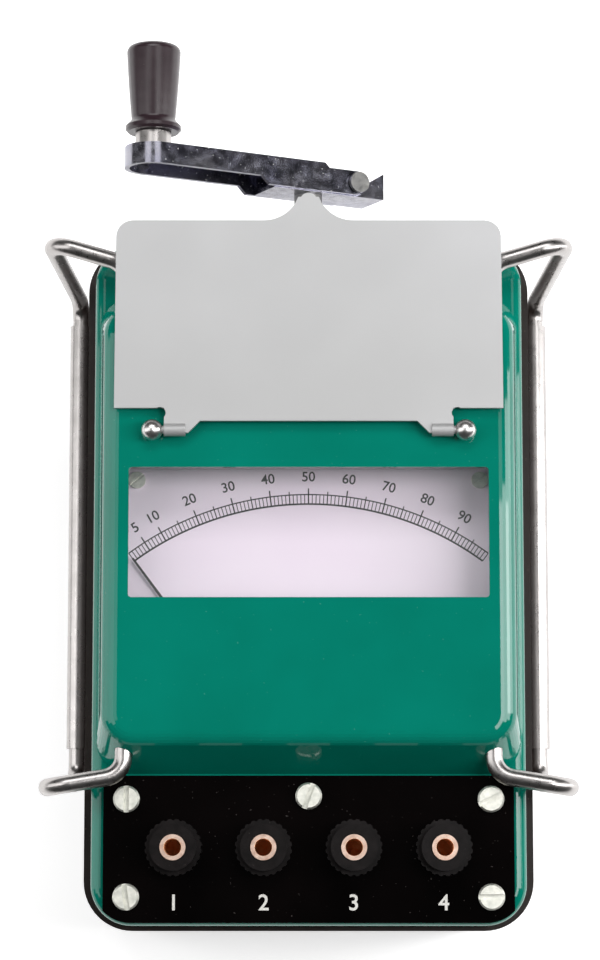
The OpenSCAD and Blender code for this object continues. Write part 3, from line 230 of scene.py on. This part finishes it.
def make_post(centre, pitch, socket_r):
    """Tinned posts, reddish inside their sockets: the red tone is the sockets' own copper, and its pale,
    non-metallic brightness is painted light for light falling into the holes.

    Centre is a point on the first post's axis, and the others follow along X, a pitch apart.
    """
    s = Surface("tinned_post", metallic=1.0)
    s.colour(srgb(204, 170, 152), srgb(236, 210, 194), s.noise(600))
    axes = s.axes()
    nearest = s.math("WRAP", axes["X"], centre.x + pitch / 2, centre.x - pitch / 2)
    across = s.math("SUBTRACT", nearest, centre.x)
    along = s.math("SUBTRACT", axes["Y"], centre.y)
    squares = [s.math("MULTIPLY", side, side) for side in (across, along)]
    inside = s.math("LESS_THAN", s.math("SQRT", s.math("ADD", *squares)), socket_r)
    # Painted light: the socket insides are a pale, non-metallic red, much lighter than their own darker copper, to
    # stand in for light falling into the deep holes
    s.specks(srgb(242, 186, 140), inside, start=0.4, end=0.6)
    s.link(s.spread(inside, 1.0, 0.0, start=0.4, end=0.6), s.shader.inputs["Metallic"])
    s.roughness(0.38, 0.5, s.noise(900))
    s.bump(s.noise(3000), depth=0.006 * MM, strength=0.4)
    return s.material


def make_steel(name, first, second):
    """Bare steel or iron, drawn along Y."""
    s = Surface(name, metallic=1.0)
    s.colour(srgb(*first), srgb(*second), s.noise(300))
    s.roughness(0.3, 0.5, s.noise(800))
    s.bump(s.noise(2500, stretch=(1, 0.2, 1)), depth=0.01 * MM, strength=0.4)
    return s.material


def make_bakelite(name, first, second, low, high, coat, specular):
    """Dark moulding of a roughness from low to high."""
    s = Surface(name, coat=coat, coat_roughness=0.22, specular=specular)
    s.colour(srgb(*first), srgb(*second), s.noise(350))
    s.specks(srgb(84, 76, 74), s.noise(1700, detail=2), start=0.74, end=0.82)
    s.roughness(low, high, s.noise(900))
    s.bump(s.noise(2000), depth=0.006 * MM, strength=0.3)
    return s.material


def make_dial():
    s = Surface("dial_print")
    s.colour(srgb(246, 230, 246), srgb(251, 238, 251), s.noise(30))
    s.roughness(0.5, 0.65, s.noise(500))
    s.bump(s.noise(4000), depth=0.004 * MM, strength=0.3)
    return s.material


def make_pane():
    s = Surface("window_pane", alpha=0.03)
    s.colour(srgb(236, 242, 242), srgb(250, 252, 252), s.noise(50))
    s.roughness(0.02, 0.05, s.noise(300))
    return s.material


def make_ink(name, first, second):
    s = Surface(name)
    s.colour(srgb(*first), srgb(*second), s.noise(1500))
    s.roughness(0.45, 0.6, s.noise(900))
    return s.material


def make_fibre():
    s = Surface("pressed_fibre")
    s.colour(srgb(96, 60, 38), srgb(122, 80, 54), s.noise(800))
    s.roughness(0.6, 0.8, s.noise(600))
    s.bump(s.noise(2500), depth=0.02 * MM, strength=0.5)
    return s.material


def make_floor(glow, fade_end, fade_start):
    """A pale glowing floor that darkens along Y, from the fade's start to its end."""
    s = Surface("pale_floor")
    s.colour(srgb(250, 250, 250), srgb(253, 253, 253), s.noise(8))
    faded = s.spread(s.axes()["Y"], 1.0, 0.0, fade_end, fade_start)
    s.specks(srgb(150, 150, 150), faded, start=0.0, end=1.0)
    s.roughness(0.8, 0.9, s.noise(20))
    s.shader.inputs["Emission Color"].default_value = (1, 1, 1, 1)
    s.link(s.spread(faded, glow, 0.0, start=0.0, end=1.0), s.shader.inputs["Emission Strength"])
    return s.material


# Materials of the CAD nodes

def middle(node):
    low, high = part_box(node)
    return (low + high) / 2


def dress(obj, material):
    obj.data.materials.clear()
    obj.data.materials.append(material)


POST_PITCH = middle("clamp_cap_2").x - middle("clamp_cap_1").x

# A little over the radius of the posts' sockets, so that the sockets' walls lie inside it
SOCKET_R = 2.05 * MM

STEEL = make_steel("plain_steel", (120, 120, 120), (150, 149, 146))
PITTED = make_pitted()
BAIL_PLATE = make_chrome("bail_plate", low=0.26, high=0.34, tint=(192, 188, 186))
INK = make_ink("scale_ink", (16, 14, 18), (28, 25, 30))
WHITE_INK = make_ink("panel_ink", (214, 212, 206), (236, 234, 228))

BY_SLOT = {
    "case_black": make_case(),
    "enamel_green": make_enamel(),
    "panel_black": make_panel(),
    "zinc": make_zinc(),
    "brass": make_brass("brass", (186, 136, 92), (226, 184, 140), low=0.2, high=0.36),
    "chrome": make_chrome("chrome_plate", low=0.04, high=0.1),
    "satin_lid": make_satin(),
    "pane": make_pane(),
    "dial_white": make_dial(),
    "pointer_black": INK,
    "copper": make_brass("copper", (150, 80, 44), (192, 112, 68), low=0.3, high=0.45),
    "iron": make_steel("soft_iron", (78, 78, 82), (104, 104, 106)),
    "steel": STEEL,
    "grip_black": make_bakelite(
        "grip_moulding", (44, 29, 35), (53, 38, 44), low=0.3, high=0.36, coat=0.4, specular=0.35
    ),
    "cap_black": make_bakelite(
        "cap_moulding", (14, 11, 11), (26, 22, 22), low=0.34, high=0.46, coat=0.1, specular=0.12
    ),
    "fibre": make_fibre(),
    "carbon": make_ink("carbon", (34, 34, 36), (52, 52, 54)),
}

# Nodes that look different from the rest of their slot
BY_NODE = {
    "crank_arm": PITTED,
    "hub_bracket": PITTED,
    "fold_pin": STEEL,
    "grip_spindle": BAIL_PLATE,
    "hinge_studs": make_chrome("stud_plate", low=0.28, high=0.34),
    "terminal_posts": make_post(middle("clamp_cap_1"), POST_PITCH, SOCKET_R),
    "bail_wire_left": BAIL_PLATE,
    "bail_wire_right": BAIL_PLATE,
    "bail_sleeve_left": BAIL_PLATE,
    "bail_sleeve_right": BAIL_PLATE,
}

for part in frame["record"]["subparts"]:
    node = part["node"]
    dress(frame["nodes"][node], BY_NODE.get(node) or BY_SLOT[part["material_slot"]])


# Printed marks

NEEDLE = next(joint for joint in frame["joints"] if joint["name"] == "needle_swing")
PIVOT = Vector(NEEDLE["pos_m"])
SWEEP = math.radians(NEEDLE["range_deg"][1])
PRINT_LIFT = 0.03 * MM
DIAL_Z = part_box("dial_plate")[1].z + PRINT_LIFT
PANEL_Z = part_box("terminal_panel")[1].z + PRINT_LIFT

# The scale: radii of its two arcs, widths of its lines, and how far they stand out past the outer arc
DIVISIONS = 100
SCALE_IN = 69.9 * MM
SCALE_OUT = 72.2 * MM
INNER_ARC_W = 0.42 * MM
OUTER_ARC_W = 0.3 * MM
ARC_STEPS = 120
FINE_W = 0.2 * MM
FIVES_W = 0.26 * MM
FIVES_OUT = 0.8 * MM
TENS_W = 0.32 * MM
TENS_OUT = 1.5 * MM
NUMBERED = [5] + list(range(10, DIVISIONS, 10))
NUMBER_SIZE = 3.3 * MM
NUMBER_OUT = 4.2 * MM

# The terminals' numbers, and their distance from the middle of a cap
TERMINALS = 4
TERMINAL_NUMBER_SIZE = 5.2 * MM
TERMINAL_NUMBER_OFF = 12.8 * MM

# How much bolder a printed number is than its font, as a share of its size
BOLDER = 0.012


def add_print(name, data, matrix, material):
    """A mesh or a text printed on a piece of the case."""
    obj = bpy.data.objects.new(name, data)
    bpy.context.scene.collection.objects.link(obj)
    obj.matrix_world = matrix
    dress(obj, material)
    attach(obj, "case")


def add_lines(name, vertices, faces):
    """Flat lines of the scale."""
    mesh = bpy.data.meshes.new(name)
    mesh.from_pydata(vertices, [], faces)
    add_print(name, mesh, Matrix.Identity(4), INK)


def add_number(name, number, size, centre, turn, material):
    """A flat number, centred on a point and turned about Z."""
    curve = bpy.data.curves.new(name, "FONT")
    curve.body = str(number)
    curve.size = size
    curve.align_x = "CENTER"
    curve.align_y = "CENTER"
    curve.offset = BOLDER * size
    matrix = Matrix.Translation(centre) @ Matrix.Rotation(turn, 4, "Z")
    add_print(name, curve, matrix, material)


def scale_angle(division):
    """Angle of a scale mark from the middle of the scale, clockwise from above."""
    return SWEEP * (division / DIVISIONS - 0.5)


def scale_point(radius, angle):
    return Vector((PIVOT.x + radius * math.sin(angle), PIVOT.y + radius * math.cos(angle), DIAL_Z))


def add_arc(name, radius, width):
    vertices = []
    for step in range(ARC_STEPS + 1):
        angle = scale_angle(DIVISIONS * step / ARC_STEPS)
        vertices += [scale_point(radius - width / 2, angle), scale_point(radius + width / 2, angle)]
    faces = [(2 * step, 2 * step + 1, 2 * step + 3, 2 * step + 2) for step in range(ARC_STEPS)]
    add_lines(name, vertices, faces)


def add_ticks(name, marks, outer, width):
    """Lines across the scale from its inner arc to a radius."""
    vertices, faces = [], []
    for division in marks:
        angle = scale_angle(division)
        side = Vector((math.cos(angle), -math.sin(angle), 0)) * width / 2
        low, high = scale_point(SCALE_IN, angle), scale_point(outer, angle)
        start = len(vertices)
        vertices += [low - side, low + side, high + side, high - side]
        faces.append((start, start + 1, start + 2, start + 3))
    add_lines(name, vertices, faces)


add_arc("scale_arc_inner", SCALE_IN, INNER_ARC_W)
add_arc("scale_arc_outer", SCALE_OUT, OUTER_ARC_W)
add_ticks("scale_fine", range(DIVISIONS + 1), SCALE_OUT, FINE_W)
add_ticks("scale_tens", NUMBERED, SCALE_OUT + TENS_OUT, TENS_W)
add_ticks("scale_fives", range(15, DIVISIONS, 10), SCALE_OUT + FIVES_OUT, FIVES_W)
for number in NUMBERED:
    angle = scale_angle(number)
    place = scale_point(SCALE_OUT + NUMBER_OUT, angle)
    add_number(f"scale_number_{number}", number, NUMBER_SIZE, place, -angle, INK)

for number in range(1, TERMINALS + 1):
    cap = middle(f"clamp_cap_{number}")
    place = Vector((cap.x, cap.y - TERMINAL_NUMBER_OFF, PANEL_Z))
    add_number(f"terminal_number_{number}", number, TERMINAL_NUMBER_SIZE, place, 0, WHITE_INK)


# Floor, light and camera

FLOOR_HALF = 3.0
FLOOR_GLOW = 0.58

# The floor darkens in front of the object, outside the picture, to keep out of the near edge's reflection
FADE_START = -0.2
FADE_END = -0.9

WORLD_STRENGTH = 0.04

# Points on the object that the lights face
LOW_AIM = Vector((0, 0, 0.06))
HIGH_AIM = Vector((0, 0, 0.08))

# The photograph's camera: its place, its tilt from the vertical, and its focal length and picture in pixels
CAMERA_PLACE = Vector((-2.03, -78.9, 816.9)) * MM
CAMERA_TILT = math.radians(8)
FOCAL_PX = 3100
LONG_SIDE_PX = 960


def add_floor():
    corners = [(x * FLOOR_HALF, y * FLOOR_HALF, 0) for x, y in ((-1, -1), (1, -1), (1, 1), (-1, 1))]
    mesh = bpy.data.meshes.new("floor")
    mesh.from_pydata(corners, [], [(0, 1, 2, 3)])
    floor = bpy.data.objects.new("floor", mesh)
    bpy.context.scene.collection.objects.link(floor)
    dress(floor, make_floor(FLOOR_GLOW, FADE_END, FADE_START))


def add_world():
    world = bpy.data.worlds.new("studio")
    world.use_nodes = True
    background = world.node_tree.nodes["Background"]
    background.inputs["Color"].default_value = (1, 1, 1, 1)
    background.inputs["Strength"].default_value = WORLD_STRENGTH
    bpy.context.scene.world = world


def add_box(name, place, aim, width, height, power):
    """A rectangular light that faces a point."""
    light = bpy.data.lights.new(name, "AREA")
    light.shape = "RECTANGLE"
    light.size = width
    light.size_y = height
    light.energy = power
    obj = bpy.data.objects.new(name, light)
    bpy.context.scene.collection.objects.link(obj)
    obj.location = place
    obj.rotation_mode = "QUATERNION"
    obj.rotation_quaternion = (aim - Vector(place)).to_track_quat("-Z", "Y")


def add_camera():
    data = bpy.data.cameras.new("camera")
    data.sensor_width = 36
    data.lens = data.sensor_width * FOCAL_PX / LONG_SIDE_PX
    data.clip_start = 0.01
    camera = bpy.data.objects.new("camera", data)
    bpy.context.scene.collection.objects.link(camera)
    camera.matrix_world = Matrix.Translation(CAMERA_PLACE) @ Matrix.Rotation(CAMERA_TILT, 4, "X")
    bpy.context.scene.camera = camera


bpy.context.scene.view_settings.view_transform = "Standard"
add_floor()
add_world()
add_box("left_box", place=(-0.7, 0.0, 0.56), aim=LOW_AIM, width=0.45, height=0.9, power=2.4)
add_box("right_box", place=(0.5, 0.0, 0.74), aim=HIGH_AIM, width=0.26, height=0.75, power=3.7)
add_box("right_strip", place=(0.85, 0.1, 0.24), aim=LOW_AIM, width=0.18, height=0.8, power=2.6)
add_box("top_left_box", place=(-0.5, 0.22, 1.28), aim=HIGH_AIM, width=0.7, height=0.5, power=1.4)
add_box("top_right_box", place=(0.5, 0.22, 1.28), aim=HIGH_AIM, width=0.7, height=0.5, power=1.4)
add_box("high_box", place=(0, 0.72, 1.2), aim=HIGH_AIM, width=1.0, height=0.4, power=5.5)
add_camera()
